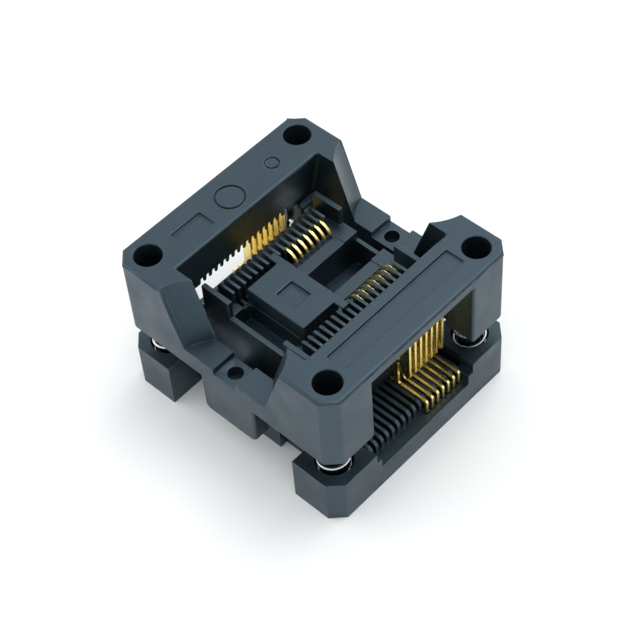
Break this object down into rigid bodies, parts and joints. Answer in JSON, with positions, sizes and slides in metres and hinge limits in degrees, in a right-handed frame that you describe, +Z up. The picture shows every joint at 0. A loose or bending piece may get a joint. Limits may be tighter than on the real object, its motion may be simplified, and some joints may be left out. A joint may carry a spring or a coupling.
{
  "type": "zif socket",
  "caption": "Lidless zero-insertion-force test socket for a fine-pitch gull-wing chip: a sprung cover frame is pressed down and opens two rows of gold contacts.",
  "frame": {"origin": "middle of the face that the base rests on", "axes": "+Z up, Y along the two contact rows with the fitted places towards +Y, X across the two raised bars"},
  "size_m": [0.023, 0.021, 0.0149],
  "materials": {
    "black_plastic": "fine matte moulding, glass-filled",
    "dark_plastic": "fine matte moulding, glass-filled",
    "gold_plate": "gold flash over nickel on beryllium copper strip",
    "spring_steel": "bright drawn wire"
  },
  "bodies": {
    "socket_base": {"base_housing": "black_plastic", "contact_block": "dark_plastic", "stop_plate": "black_plastic", "contact_roots_left": "gold_plate", "contact_roots_right": "gold_plate", "spring_front_left": "spring_steel", "spring_front_right": "spring_steel", "spring_back_left": "spring_steel", "spring_back_right": "spring_steel"},
    "cover_frame": {"cover": "black_plastic"},
    "arms_left": {"contact_arm_left_1": "gold_plate", "contact_arm_left_2": "gold_plate", "contact_arm_left_3": "gold_plate", "contact_arm_left_4": "gold_plate", "contact_arm_left_5": "gold_plate", "contact_arm_left_6": "gold_plate", "contact_arm_left_7": "gold_plate"},
    "arms_right": {"contact_arm_right_1": "gold_plate", "contact_arm_right_2": "gold_plate", "contact_arm_right_3": "gold_plate", "contact_arm_right_4": "gold_plate", "contact_arm_right_5": "gold_plate", "contact_arm_right_6": "gold_plate", "contact_arm_right_7": "gold_plate"}
  },
  "joints": [
    {"name": "cover_press", "type": "slide", "parent": "socket_base", "child": "cover_frame", "axis": [0, 0, 1], "range_m": [-0.0019, 0], "stiffness_N_per_m": 2500, "springref_m": 0.0012, "deforming": ["spring_front_left", "spring_front_right", "spring_back_left", "spring_back_right"]},
    {"name": "contacts_open_right", "type": "hinge", "parent": "socket_base", "child": "arms_right", "pos_m": [0.00762, 0, 0.0046], "axis": [0, 1, 0], "range_deg": [0, 8.4]},
    {"name": "contacts_open_left", "type": "hinge", "parent": "socket_base", "child": "arms_left", "pos_m": [-0.00762, 0, 0.0046], "axis": [0, -1, 0], "range_deg": [0, 8.4]}
  ],
  "couplings": [
    {"joint": "contacts_open_right", "follows": "cover_press", "rad_per_m": -76.3},
    {"joint": "contacts_open_left", "follows": "cover_press", "rad_per_m": -76.3}
  ]
}
